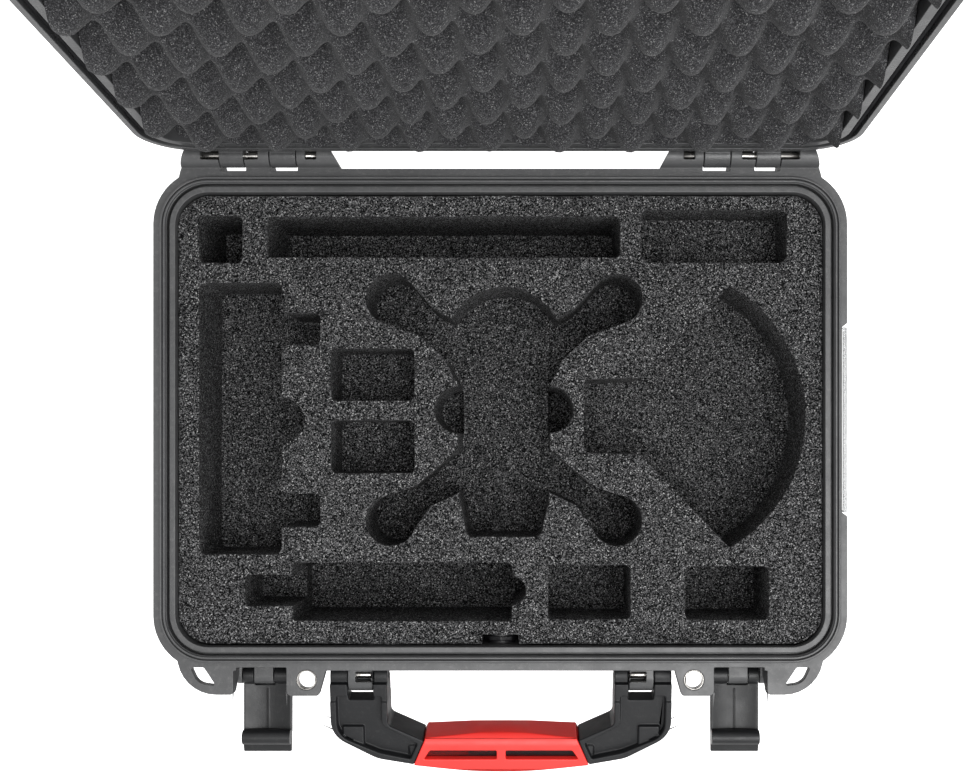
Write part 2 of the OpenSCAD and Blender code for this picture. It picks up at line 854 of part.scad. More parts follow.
// Shallow recess in an arm's face, with a raised pad in it
module arm_recess() {
    difference() {
        linear_extrude(arm_recess + past) arm_outline(3.6, recess_start);
        translate([0, 0, -past])
            linear_extrude(arm_recess / 2 + past)
                polygon([
                    [-handle_half + 6.5, -28.5], [-handle_half + 6.5, -34],
                    [-handle_half + 18.6, -40.5], [-handle_half + 18.6, -28.5]
                ]);
    }
}

module handle_arm() {
    slot = handle_slot_w;
    difference() {
        union() {
            translate([0, 0, -arm_thin / 2]) linear_extrude(arm_thin) arm_outline(0, arm_start);
            translate([0, 0, -arm_t / 2]) linear_extrude(arm_t) arm_outline(0, arm_step);
            rod_x(-handle_half, -handle_half + arm_w, 0, 0, handle_barrel_r);
            translate([-handle_half, -arm_start - join, -handle_barrel_r])
                cube([arm_w, arm_start + join, 2 * handle_barrel_r]);
        }
        for (up = [0, 1])
            mirror([0, 0, up])
                translate([0, 0, arm_t / 2 - arm_recess]) arm_recess();
        translate([-handle_slot_x - slot / 2, -handle_slot_len, -arm_t])
            cube([slot, handle_slot_len + handle_barrel_r + past, 2 * arm_t]);
        rod_x(-handle_half - past, -handle_half + arm_w + past, 0, 0, handle_pin_d / 2 + run_gap);
    }
}

module handle_frame() {
    color("#2b2c2e") at_handle() {
        both_sides() handle_arm();
        translate([-grip_half_out - 3, -core_to, -core_t / 2])
            cube([2 * grip_half_out + 6, core_to - core_from, core_t]);
    }
}

module grip_plan() {
    polygon(rounded([
        [-grip_half_out, -handle_reach + 3.8, 0],
        [0, -handle_reach - grip_bulge, 220],
        [grip_half_out, -handle_reach + 3.8, 0],
        [grip_half_in - 1, -grip_inner, 0],
        [0, -grip_inner + grip_arch, 220],
        [-grip_half_in + 1, -grip_inner, 0]
    ]));
}

module grip_section() {
    polygon(rounded([
        [-handle_reach - grip_bulge, -grip_t / 2, 4],
        [-handle_reach - grip_bulge, grip_t / 2, 4],
        [-grip_inner + grip_arch, grip_t / 2, 8],
        [-grip_inner + grip_arch, -grip_t / 2, 8]
    ]));
}

module handle_grip() {
    color("#e8362f") at_handle()
        difference() {
            intersection() {
                translate([0, 0, -grip_t / 2]) linear_extrude(grip_t) grip_plan();
                along_x(-grip_half_out, grip_half_out) grip_section();
            }
            translate([-grip_half_out - 3, -core_to, -core_t / 2])
                cube([2 * grip_half_out + 6, core_to - core_from, core_t]);
            for (up = [0, 1], side = [0, 1])
                mirror([0, 0, up]) mirror([side, 0, 0])
                    translate([0, 0, core_t / 2 - join])
                        linear_extrude(grip_t)
                            polygon([
                                [2.6, -slot_from], [41, -slot_from], [44.5, -slot_to], [2.6, -slot_to]
                            ]);
        }
}

// ---- Valve, padlock sleeves and name tag ----

module valve_axis() {
    translate([0, valve_face_y, valve_z]) rotate([90, 0, 0]) children();
}

module valve_body() {
    stem = wall + draft + valve_boss_t + nut_t;
    color("#222326") valve_axis()
        difference() {
            union() {
                translate([0, 0, washer_t]) cylinder(r = valve_r, h = 2.4);
                translate([0, 0, washer_t + 2]) cylinder(r = valve_r - 2.5, h = 2, $fn = 6);
                translate([0, 0, -stem]) cylinder(r = valve_stem_r, h = stem + washer_t + join);
            }
            translate([0, 0, -stem - past]) cylinder(r = 3, h = 2 * stem);
            translate([0, 0, washer_t + 2]) cylinder(r = valve_disc_r, h = 3);
        }
}

module valve_disc() {
    color("gray") valve_axis()
        translate([0, 0, washer_t + 2]) cylinder(r = valve_disc_r, h = 1.2);
}

module valve_seal() {
    color("black") valve_axis()
        difference() {
            cylinder(r = valve_r - 0.5, h = washer_t);
            translate([0, 0, -past]) cylinder(r = valve_stem_r, h = washer_t + 2 * past);
        }
}

module valve_nut() {
    color("#1c1d1f")
        translate([0, -cavity_d / 2 + draft, valve_z])
            rotate([-90, 0, 0])
                difference() {
                    cylinder(r = nut_r, h = nut_t - draft, $fn = 8);
                    translate([0, 0, -past]) cylinder(r = valve_stem_r, h = nut_t + 2 * past);
                }
}

module padlock_sleeve(side) {
    color("silver") on_side(side)
        translate([-padlock_x, padlock_y, base_h - ear_t])
            difference() {
                cylinder(r = padlock_d / 2 + sleeve_t, h = ear_t);
                translate([0, 0, -past]) cylinder(r = padlock_d / 2, h = ear_t + 2 * past);
            }
}

module lid_sleeve(side) {
    color("silver") open_lid() on_side(side)
        translate([-padlock_x, padlock_y, base_h + rim_gap])
            difference() {
                cylinder(r = padlock_d / 2 + sleeve_t, h = ear_t);
                translate([0, 0, -past]) cylinder(r = padlock_d / 2, h = ear_t + 2 * past);
            }
}

module name_tag_card() {
    color("white")
        translate([tag_x, -tag_len / 2 + 1, tag_top - tag_h])
            cube([card_t, tag_len - 2, tag_h]);
}

module name_tag_window() {
    color("lightgray")
        translate([tag_x + card_t, -tag_len / 2, tag_top - tag_h])
            cube([tag_t - card_t, tag_len, tag_h]);
}

base_shell();
lid_shell();
lid_seal();
foam_insert();
foam_base_pad();
lid_foam();
hinge_pin(-1);  // hinge_pin_left
hinge_pin(1);  // hinge_pin_right
latch(-1);  // latch_left
latch(1);  // latch_right
latch_pin(-1);  // latch_pin_left
latch_pin(1);  // latch_pin_right
handle_frame();
handle_grip();
handle_pin(-1);  // handle_pin_left
handle_pin(1);  // handle_pin_right
valve_body();
valve_nut();
valve_seal();
valve_disc();
padlock_sleeve(-1);  // padlock_sleeve_left
padlock_sleeve(1);  // padlock_sleeve_right
lid_sleeve(-1);  // lid_sleeve_left
lid_sleeve(1);  // lid_sleeve_right
name_tag_card();
name_tag_window();
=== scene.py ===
"""Looks of a hard carrying case for a compact folding drone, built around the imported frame.

Every length is in metres, in the row's own frame: X to the right, Y to the hinges and Z up. The case
rests open, with its latches and its handle turned out. Sizes and places come from the frame's nodes.
"""

from __future__ import annotations

import json
import logging
import math
from dataclasses import dataclass, field
from enum import Enum

import bmesh
import bpy
import numpy as np
from mathutils import Matrix, Vector, noise

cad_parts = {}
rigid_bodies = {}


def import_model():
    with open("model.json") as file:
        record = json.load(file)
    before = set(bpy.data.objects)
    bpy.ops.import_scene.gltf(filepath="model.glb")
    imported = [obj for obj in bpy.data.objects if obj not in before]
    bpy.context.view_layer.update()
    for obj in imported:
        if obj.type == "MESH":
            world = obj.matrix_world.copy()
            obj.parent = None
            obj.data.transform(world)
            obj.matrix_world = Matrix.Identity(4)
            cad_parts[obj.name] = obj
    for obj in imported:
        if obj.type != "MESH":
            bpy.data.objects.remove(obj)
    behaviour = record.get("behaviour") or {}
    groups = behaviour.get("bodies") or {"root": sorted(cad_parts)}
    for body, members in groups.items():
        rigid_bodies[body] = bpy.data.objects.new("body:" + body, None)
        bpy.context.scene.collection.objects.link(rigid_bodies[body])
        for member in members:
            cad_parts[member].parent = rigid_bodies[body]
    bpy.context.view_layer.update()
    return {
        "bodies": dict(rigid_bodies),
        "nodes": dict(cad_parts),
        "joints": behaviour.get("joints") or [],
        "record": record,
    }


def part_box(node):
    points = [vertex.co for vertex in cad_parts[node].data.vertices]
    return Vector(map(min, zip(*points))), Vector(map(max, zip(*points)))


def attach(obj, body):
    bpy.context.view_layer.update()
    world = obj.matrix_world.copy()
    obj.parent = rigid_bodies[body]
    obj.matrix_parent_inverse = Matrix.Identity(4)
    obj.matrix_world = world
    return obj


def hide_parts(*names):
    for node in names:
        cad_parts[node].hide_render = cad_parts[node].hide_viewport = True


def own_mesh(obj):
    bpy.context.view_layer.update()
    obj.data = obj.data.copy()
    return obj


Colour = tuple[float, float, float]
Socket = bpy.types.NodeSocket

LOG = logging.getLogger("carrying_case")
MM = 0.001


class Finish(Enum):
    """The finishes that a piece of the case can have."""

    SHELL = "shell_resin"
    LID = "lid_resin"
    LATCH = "latch_nylon"
    HANDLE = "handle_nylon"
    GRIP = "red_grip"
    FOAM = "cut_foam"
    PAD = "pad_foam"
    CRATE = "egg_crate_foam"
    SEAL = "seal_rubber"
    STEEL = "pin_steel"
    FITTING = "black_fitting"
    FELT = "breathing_felt"
    CARD = "tag_card"
    WINDOW = "tag_window"
    PAPER = "studio_paper"


class Side(Enum):
    """The left and the right side of the case, as the sign of X."""

    LEFT = -1
    RIGHT = 1

    @property
    def word(self) -> str:
        """The side's name, as it ends a node's name."""
        return self.name.lower()


# ---------------------------------------------------------------------------------------------
# Shader trees
# ---------------------------------------------------------------------------------------------


class Tree:
    """Adds nodes to one shader tree and links them."""

    def __init__(self, tree: bpy.types.NodeTree) -> None:
        """Wraps a tree.

        Args:
            tree: A material's or a group's node tree.
        """
        self.tree = tree
        self.count = 0

    def node(self, kind: str, **settings: object) -> bpy.types.Node:
        """Adds a node.

        Args:
            kind: The node's Blender type.
            **settings: Properties to set on it.

        Returns:
            The new node.
        """
        made = self.tree.nodes.new(kind)
        made.location = (200 * (self.count % 8), -260 * (self.count // 8))
        self.count += 1
        for name, value in settings.items():
            setattr(made, name, value)
        return made

    def feed(self, socket: Socket, value: object) -> None:
        """Links another socket into this one, or sets its constant."""
        if isinstance(value, bpy.types.NodeSocket):
            self.tree.links.new(value, socket)
        else:
            socket.default_value = value

    def coordinates(self, stretch: tuple[float, float, float] = (1.0, 1.0, 1.0)) -> Socket:
        """The piece's own coordinates, in metres.

        Args:
            stretch: A factor for each axis.

        Returns:
            The coordinate socket.
        """
        place = self.node("ShaderNodeTexCoord").outputs["Object"]
        if stretch == (1.0, 1.0, 1.0):
            return place
        mapping = self.node("ShaderNodeMapping")
        mapping.inputs["Scale"].default_value = stretch
        self.feed(mapping.inputs["Vector"], place)
        return mapping.outputs["Vector"]

    def noise(self, place: Socket, scale: object, detail: float = 2.0, rough: float = 0.5) -> Socket:
        """Fractal noise from 0 to 1.

        Args:
            place: Coordinates to read it at.
            scale: Features for each metre, as a number or a socket.
            detail: Octaves.
            rough: How strong each finer octave is.

        Returns:
            The noise value's socket.
        """
        made = self.node("ShaderNodeTexNoise")
        self.feed(made.inputs["Vector"], place)
        self.feed(made.inputs["Scale"], scale)
        made.inputs["Detail"].default_value = detail
        made.inputs["Roughness"].default_value = rough
        return made.outputs["Fac"]

    def spread(self, value: object, low: float, high: float, to_low: float, to_high: float) -> Socket:
        """Maps a range to another one, and clamps it.

        Args:
            value: The value to map.
            low: Where the range starts.
            high: Where the range ends.
            to_low: What the start becomes.
            to_high: What the end becomes.

        Returns:
            The mapped value's socket.
        """
        made = self.node("ShaderNodeMapRange", clamp=True)
        self.feed(made.inputs["Value"], value)
        for name, number in zip(("From Min", "From Max", "To Min", "To Max"), (low, high, to_low, to_high)):
            made.inputs[name].default_value = number
        return made.outputs["Result"]

    def math(self, operation: str, a: object, b: object = 0.0) -> Socket:
        """One arithmetic step.

        Args:
            operation: The Math node's operation.
            a: The first value.
            b: The second value.

        Returns:
            The result's socket.
        """
        made = self.node("ShaderNodeMath", operation=operation)
        self.feed(made.inputs[0], a)
        self.feed(made.inputs[1], b)
        return made.outputs["Value"]

    def mix(self, amount: object, a: object, b: object) -> Socket:
        """Mixes two colours.

        Args:
            amount: 0 for the first colour and 1 for the second.
            a: The first colour.
            b: The second colour.

        Returns:
            The mixed colour's socket.
        """
        made = self.node("ShaderNodeMix", data_type="RGBA")
        self.feed(made.inputs["Factor"], amount)
        ends = [s for s in made.inputs if s.type == "RGBA"]
        for socket, colour in zip(ends, (a, b)):
            self.feed(socket, (*colour, 1.0) if isinstance(colour, tuple) else colour)
        return next(s for s in made.outputs if s.type == "RGBA")

    def bump(self, height: Socket, depth: float, strength: float = 1.0) -> Socket:
        """Turns a height into a normal.

        Args:
            height: The height from 0 to 1.
            depth: What a height of 1 measures, in metres.
            strength: How much of the bump shows.

        Returns:
            The normal's socket.
        """
        made = self.node("ShaderNodeBump")
        made.inputs["Strength"].default_value = strength
        made.inputs["Distance"].default_value = depth
        self.feed(made.inputs["Height"], height)
        return made.outputs["Normal"]

    def place(self, group: bpy.types.NodeTree, **values: object) -> bpy.types.Node:
        """Places a shader group.

        Args:
            group: The group's tree.
            **values: Its inputs, with underscores for spaces.

        Returns:
            The group's node.
        """
        made = self.node("ShaderNodeGroup")
        made.node_tree = group
        for name, value in values.items():
            self.feed(made.inputs[name.replace("_", " ")], value)
        return made


class Effects:
    """The shader groups that several finishes share, each built once."""

    def __init__(self) -> None:
        """Builds every group."""
        self.grain = self._grain()
        self.wear = self._wear()
        self.cells = self._cells()
        self.dust = self._dust()

    @staticmethod
    def _start(name: str, inputs: dict[str, float], outputs: list[str]) -> tuple[Tree, dict, dict]:
        """Starts a group.

        Args:
            name: The group's name.
            inputs: Each input's name and default.
            outputs: Each output's name.

        Returns:
            The tree, its input sockets and its output sockets, by name.
        """
        group = bpy.data.node_groups.new(name, "ShaderNodeTree")
        for title, value in inputs.items():
            socket = group.interface.new_socket(name=title, in_out="INPUT", socket_type="NodeSocketFloat")
            socket.default_value = value
        for title in outputs:
            group.interface.new_socket(name=title, in_out="OUTPUT", socket_type="NodeSocketFloat")
        tree = Tree(group)
        entry = tree.node("NodeGroupInput")
        leave = tree.node("NodeGroupOutput")
        return tree, {k: entry.outputs[k] for k in inputs}, {k: leave.inputs[k] for k in outputs}

    def _grain(self) -> bpy.types.NodeTree:
        """The fine pebbled grain of a spark-eroded mould, with slow changes of tone."""
        tree, given, out = self._start("mould_grain", {"Scale": 900.0}, ["Height", "Tone", "Sheen"])
        place = tree.coordinates()
        fine = tree.noise(place, given["Scale"], 3.0, 0.6)
        cloud = tree.noise(place, 26.0, 3.0, 0.55)
        flow = tree.noise(place, 95.0, 2.0, 0.5)
        tree.feed(out["Height"], tree.spread(fine, 0.3, 0.7, 0.0, 1.0))
        tree.feed(out["Tone"], tree.spread(cloud, 0.3, 0.7, 0.0, 1.0))
        tree.feed(out["Sheen"], tree.spread(flow, 0.35, 0.65, 0.0, 1.0))
        return tree.tree

    def _wear(self) -> bpy.types.NodeTree:
        """Rubbed outer edges, broken up by noise."""
        tree, given, out = self._start("edge_wear", {"Amount": 0.5, "Reach": 0.06}, ["Mask"])
        shape = tree.node("ShaderNodeNewGeometry").outputs["Pointiness"]
        raised = tree.math("SUBTRACT", shape, 0.515)
        edge = tree.math("DIVIDE", raised, given["Reach"])
        patch = tree.spread(tree.noise(tree.coordinates(), 140.0, 4.0, 0.65), 0.38, 0.62, 0.1, 1.0)
        worn = tree.math("MULTIPLY", tree.spread(edge, 0.0, 1.0, 0.0, 1.0), patch)
        tree.feed(out["Mask"], tree.math("MULTIPLY", worn, given["Amount"]))
        return tree.tree

    def _cells(self) -> bpy.types.NodeTree:
        """Open foam cells: dark pores, grey walls, a few painted glints where cell walls would catch the
        light, and slow patches of painted shade.
        """
        inputs = {"Scale": 2300.0, "Even": 0.3}
        tree, given, out = self._start("foam_cells", inputs, ["Height", "Tone", "Glint"])
        place = tree.coordinates()
        pores = tree.node("ShaderNodeTexVoronoi", feature="F1")
        tree.feed(pores.inputs["Vector"], place)
        tree.feed(pores.inputs["Scale"], given["Scale"])
        own = tree.node("ShaderNodeSeparateColor")
        tree.feed(own.inputs["Color"], pores.outputs["Color"])
        cluster = tree.noise(place, 800.0, 2.0, 0.6)
        # Painted shade: slow noise makes patches of foam up to an eighth darker or lighter, standing in for
        # shading.
        shade_patches = tree.noise(place, 60.0, 2.0, 0.5)
        random = tree.math("POWER", own.outputs["Red"], 3.0)
        clump = tree.spread(cluster, 0.35, 0.65, 0.0, 1.0)
        tone = tree.math("MULTIPLY", random, tree.math("MAXIMUM", clump, given["Even"]))
        shade = tree.spread(shade_patches, 0.3, 0.7, 0.88, 1.12)
        tree.feed(out["Tone"], tree.math("MULTIPLY", tone, shade))
        tree.feed(out["Height"], tree.spread(pores.outputs["Distance"], 0.0, 0.8, 0.0, 1.0))
        # Painted highlight: a few cells are marked to be painted bright, as glints of cell walls.
        tree.feed(out["Glint"], tree.spread(own.outputs["Green"], 0.955, 0.985, 0.0, 1.0))
        return tree.tree

    def _dust(self) -> bpy.types.NodeTree:
        """Light dust on faces that look up."""
        tree, given, out = self._start("settled_dust", {"Amount": 0.1}, ["Mask"])
        turned = tree.node("ShaderNodeSeparateXYZ")
        tree.feed(turned.inputs["Vector"], tree.node("ShaderNodeNewGeometry").outputs["Normal"])
        level = tree.spread(turned.outputs["Z"], 0.6, 1.0, 0.0, 1.0)
        patch = tree.spread(tree.noise(tree.coordinates(), 320.0, 5.0, 0.75), 0.52, 0.72, 0.0, 1.0)
        tree.feed(out["Mask"], tree.math("MULTIPLY", tree.math("MULTIPLY", level, patch), given["Amount"]))
        return tree.tree


# ---------------------------------------------------------------------------------------------
# Finishes
# ---------------------------------------------------------------------------------------------


def new_material(name: str) -> tuple[bpy.types.Material, Tree, bpy.types.Node]:
    """Starts a material with one Principled shader.

    Args:
        name: The material's name.

    Returns:
        The material, its tree and its shader.
    """
    material = bpy.data.materials.new(name)
    material.use_nodes = True
    material.node_tree.nodes.clear()
    tree = Tree(material.node_tree)
    shader = tree.node("ShaderNodeBsdfPrincipled")
    tree.feed(tree.node("ShaderNodeOutputMaterial").inputs["Surface"], shader.outputs["BSDF"])
    return material, tree, shader


def scaled(colour: Colour, factor: float) -> Colour:
    """A colour made lighter or darker."""
    return tuple(min(1.0, c * factor) for c in colour)


@dataclass(frozen=True)
class MouldedPlastic:
    """Injection-moulded plastic with a fine grain, rubbed edges and a trace of dust."""

    colour: Colour
    roughness: float
    grain: float = 900.0
    relief: float = 0.04 * MM
    wear: float = 0.45
    dust: float = 0.10
    coat: float = 0.0
    specular: float = 0.5

    def material(self, name: str, effects: Effects) -> bpy.types.Material:
        """Builds the material.

        Args:
            name: The material's name.
            effects: The shared shader groups.

        Returns:
            The material.
        """
        made, tree, shader = new_material(name)
        grain = tree.place(effects.grain, Scale=self.grain)
        wear = tree.place(effects.wear, Amount=self.wear)
        dust = tree.place(effects.dust, Amount=self.dust)
        body = tree.mix(grain.outputs["Tone"], scaled(self.colour, 0.9), scaled(self.colour, 1.12))
        rubbed = tree.mix(wear.outputs["Mask"], body, scaled(self.colour, 2.1))
        dusty = tree.mix(dust.outputs["Mask"], rubbed, (0.42, 0.41, 0.39))
        tree.feed(shader.inputs["Base Color"], dusty)
        low, high = self.roughness - 0.05, self.roughness + 0.06
        satin = tree.spread(grain.outputs["Sheen"], 0.0, 1.0, low, high)
        polished = tree.math("MULTIPLY", wear.outputs["Mask"], -0.12)
        tree.feed(shader.inputs["Roughness"], tree.math("ADD", satin, polished))
        tree.feed(shader.inputs["Normal"], tree.bump(grain.outputs["Height"], self.relief))
        shader.inputs["Specular IOR Level"].default_value = self.specular
        shader.inputs["Coat Weight"].default_value = self.coat
        shader.inputs["Coat Roughness"].default_value = 0.25
        return made


@dataclass(frozen=True)
class Foam:
    """Open-cell polyurethane foam: matt, with dark pores and painted glints on its cell walls."""

    dark: Colour
    light: Colour
    glint: Colour
    cell: float = 2300.0
    relief: float = 0.16 * MM
    sheen: float = 0.0
    even: float = 0.3
    fleck: float = 0.8

    def material(self, name: str, effects: Effects) -> bpy.types.Material:
        """Builds the material.

        Args:
            name: The material's name.
            effects: The shared shader groups.

        Returns:
            The material.
        """
        made, tree, shader = new_material(name)
        cells = tree.place(effects.cells, Scale=self.cell, Even=self.even)
        body = tree.mix(cells.outputs["Tone"], self.dark, self.light)
        # Painted highlight: the glint cells are mixed towards the bright glint colour.
        lit = tree.mix(tree.math("MULTIPLY", cells.outputs["Glint"], self.fleck), body, self.glint)
        tree.feed(shader.inputs["Base Color"], lit)
        tree.feed(shader.inputs["Roughness"], tree.spread(cells.outputs["Tone"], 0.0, 1.0, 1.0, 0.82))
        tree.feed(shader.inputs["Normal"], tree.bump(cells.outputs["Height"], self.relief, 0.8))
        shader.inputs["Specular IOR Level"].default_value = 0.08
        shader.inputs["Sheen Weight"].default_value = self.sheen
        shader.inputs["Sheen Roughness"].default_value = 0.6
        return made


@dataclass(frozen=True)
class DrawnSteel:
    """Drawn stainless rod, with fine lines along X and round its girth."""

    colour: Colour = (0.66, 0.64, 0.61)
    roughness: float = 0.26

    def material(self, name: str, effects: Effects) -> bpy.types.Material:
        """Builds the material.

        Args:
            name: The material's name.
            effects: The shared shader groups.

        Returns:
            The material.
        """
        made, tree, shader = new_material(name)
        lines = tree.noise(tree.coordinates((60.0, 2600.0, 2600.0)), 1.0, 3.0, 0.6)
        grain = tree.place(effects.grain, Scale=300.0)
        tone = tree.mix(lines, scaled(self.colour, 0.82), scaled(self.colour, 1.15))
        tree.feed(shader.inputs["Base Color"], tone)
        smear = tree.spread(grain.outputs["Sheen"], 0.0, 1.0, self.roughness - 0.06, self.roughness + 0.1)
        tree.feed(shader.inputs["Roughness"], smear)
        tree.feed(shader.inputs["Normal"], tree.bump(lines, 0.01 * MM))
        shader.inputs["Metallic"].default_value = 1.0
        return made


@dataclass(frozen=True)
class Rubber:
    """Soft black seal rubber with talc in its pores."""

    colour: Colour = (0.008, 0.008, 0.009)
    roughness: float = 0.8
    specular: float = 0.12

    def material(self, name: str, effects: Effects) -> bpy.types.Material:
        """Builds the material.

        Args:
            name: The material's name.
            effects: The shared shader groups.

        Returns:
            The material.
        """
        made, tree, shader = new_material(name)
        grain = tree.place(effects.grain, Scale=1500.0)
        dust = tree.place(effects.dust, Amount=0.06)
        tone = tree.mix(grain.outputs["Tone"], scaled(self.colour, 0.8), scaled(self.colour, 1.5))
        tree.feed(shader.inputs["Base Color"], tree.mix(dust.outputs["Mask"], tone, (0.2, 0.2, 0.2)))
        rough = tree.spread(grain.outputs["Sheen"], 0.0, 1.0, self.roughness - 0.08, self.roughness + 0.12)
        tree.feed(shader.inputs["Roughness"], rough)
        tree.feed(shader.inputs["Normal"], tree.bump(grain.outputs["Height"], 0.03 * MM))
        shader.inputs["Specular IOR Level"].default_value = self.specular
        return made


@dataclass(frozen=True)
class ClearSheet:
    """Clear polycarbonate with fine scuffs."""

    colour: Colour = (0.95, 0.96, 0.97)

    def material(self, name: str, effects: Effects) -> bpy.types.Material:
        """Builds the material.

        Args:
            name: The material's name.
            effects: The shared shader groups.

        Returns:
            The material.
        """
        made, tree, shader = new_material(name)
        scuffs = tree.noise(tree.coordinates((1.0, 9.0, 1.0)), 160.0, 5.0, 0.7)
        grain = tree.place(effects.grain, Scale=500.0)
        hazy = (0.9, 0.92, 0.93)
        tree.feed(shader.inputs["Base Color"], tree.mix(grain.outputs["Tone"], self.colour, hazy))
        tree.feed(shader.inputs["Roughness"], tree.spread(scuffs, 0.5, 0.7, 0.08, 0.3))
        tree.feed(shader.inputs["Normal"], tree.bump(scuffs, 0.02 * MM))
        shader.inputs["Transmission Weight"].default_value = 0.8
        shader.inputs["IOR"].default_value = 1.58
        return made


@dataclass(frozen=True)
class PressedFibre:
    """Card, felt or backdrop paper: fibres in a slow cloud of tone, with a glow for the backdrop."""

    colour: Colour
    fibre: float = 700.0
    relief: float = 0.05 * MM
    glow: float = 0.0

    def material(self, name: str, effects: Effects) -> bpy.types.Material:
        """Builds the material.

        Args:
            name: The material's name.
            effects: The shared shader groups.

        Returns:
            The material.
        """
        made, tree, shader = new_material(name)
        strands = tree.noise(tree.coordinates((1.0, 0.35, 2.2)), self.fibre, 5.0, 0.7)
        grain = tree.place(effects.grain, Scale=self.fibre)
        tone = tree.mix(strands, scaled(self.colour, 0.86), scaled(self.colour, 1.06))
        tree.feed(shader.inputs["Base Color"], tone)
        tree.feed(shader.inputs["Roughness"], tree.spread(grain.outputs["Sheen"], 0.0, 1.0, 0.75, 0.92))
        tree.feed(shader.inputs["Normal"], tree.bump(strands, self.relief))
        if self.glow:
            seen = tree.node("ShaderNodeLightPath").outputs["Is Camera Ray"]
            shader.inputs["Emission Color"].default_value = (1, 1, 1, 1)
            tree.feed(shader.inputs["Emission Strength"], tree.math("MULTIPLY", seen, self.glow))
        return made


FINISHES: dict[Finish, object] = {
    Finish.SHELL: MouldedPlastic((0.060, 0.0605, 0.062), 0.38, wear=0.35),
    Finish.LID: MouldedPlastic((0.048, 0.0485, 0.050), 0.30, wear=0.35),
    Finish.LATCH: MouldedPlastic(
        (0.0095, 0.0098, 0.0106), 0.38, grain=1300.0, relief=0.03 * MM, dust=0.03, specular=0.4
    ),
    Finish.HANDLE: MouldedPlastic(
        (0.011, 0.0114, 0.0126), 0.42, grain=1100.0, relief=0.03 * MM, wear=0.15, dust=0.03, specular=0.32
    ),
    Finish.GRIP: MouldedPlastic(
        (0.84, 0.033, 0.026), 0.42, grain=700.0, relief=0.02 * MM, wear=0.12, dust=0.0, coat=0.05
    ),
    # The third colour of each foam is its painted glint highlight.
    Finish.FOAM: Foam(
        (0.002, 0.002, 0.0022), (0.27, 0.27, 0.275), (0.46, 0.46, 0.46), cell=1900.0, even=0.55
    ),
    Finish.PAD: Foam(
        (0.003, 0.003, 0.0032), (0.22, 0.22, 0.225), (0.4, 0.4, 0.4), cell=1900.0, even=0.55
    ),
    Finish.CRATE: Foam(
        (0.016, 0.016, 0.0172),
        (0.13, 0.13, 0.136),
        (0.26, 0.26, 0.26),
        cell=2600.0,
        relief=0.12 * MM,
        sheen=0.10,
        even=0.65,
        fleck=0.8,
    ),
    Finish.SEAL: Rubber(),
    Finish.STEEL: DrawnSteel(),
    Finish.FITTING: MouldedPlastic((0.016, 0.016, 0.018), 0.38, grain=1200.0, wear=0.3),
    Finish.FELT: PressedFibre((0.42, 0.42, 0.41)),
    Finish.CARD: PressedFibre((0.88, 0.88, 0.87), fibre=420.0),
    Finish.WINDOW: ClearSheet(),
    Finish.PAPER: PressedFibre((0.93, 0.93, 0.93), fibre=300.0, relief=0.0, glow=0.9),
}


# ---------------------------------------------------------------------------------------------
# Meshes
# ---------------------------------------------------------------------------------------------


@dataclass(frozen=True)
class EdgeBreak:
    """How a moulded or machined piece's sharp edges are rounded."""

    width: float
    segments: int = 2
    sharp: float = 30.0


class Workshop:
    """What every sub-assembly works with: the frame, the finishes and the ways to make a piece."""

    def __init__(self, frame: dict) -> None:
        """Builds the finishes.
        """
        self.nodes = frame["nodes"]
        self.record = frame["record"]
        self.slots = {s["node"]: s["material_slot"] for s in frame["record"]["subparts"]}
        self.joints = {j["name"]: j for j in frame["joints"]}
        effects = Effects()
        self.materials = {f: FINISHES[f].material(f.value, effects) for f in Finish}

    def opened(self) -> Matrix:
        """The move that takes a piece of the shut lid to where the open lid holds it."""
        hinge = self.joints["lid_hinge"]
        pin = Vector(hinge["pos_m"])
        turn = Matrix.Rotation(-math.radians(max(hinge["range_deg"])), 4, Vector(hinge["axis"]))
        return Matrix.Translation(pin) @ turn @ Matrix.Translation(-pin)

    def piece(self, name: str, mesh: bpy.types.Mesh, finish: Finish) -> bpy.types.Object:
        """Makes an object of a mesh and gives it its finish.

        Args:
            name: The piece's name.
            mesh: Its mesh, in the row's frame.
            finish: Its finish.

        Returns:
            The object.
        """
        made = bpy.data.objects.new(name, mesh)
        bpy.context.scene.collection.objects.link(made)
        mesh.materials.clear()
        mesh.materials.append(self.materials[finish])
        return made

    def install(self, piece: bpy.types.Object, body: str, *nodes: str) -> bpy.types.Object:
        """Lets a piece ride on a body and stand for CAD nodes.

        Args:
            piece: The piece.
            body: The body that it moves with.
            *nodes: The CAD nodes that it stands for.

        Returns:
            The piece.
        """
        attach(piece, body)
        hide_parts(*nodes)
        LOG.info("%s: %d faces, for %s", piece.name, len(piece.data.polygons), ", ".join(nodes))
        return piece

    def softened(self, node: str, name: str, finish: Finish, edge: EdgeBreak) -> bpy.types.Object:
        """A copy of a CAD node's shape with its sharp edges rounded.

        Args:
            node: The CAD node.
            name: The new piece's name.
            finish: Its finish.
            edge: How far its edges are rounded.

        Returns:
            The new piece.
        """
        mesh = self.nodes[node].data.copy()
        mesh.name = name
        round_edges(mesh, edge)
        made = self.piece(name, mesh, finish)
        weighted = made.modifiers.new("weighted_normals", "WEIGHTED_NORMAL")
        weighted.keep_sharp = True
        return made


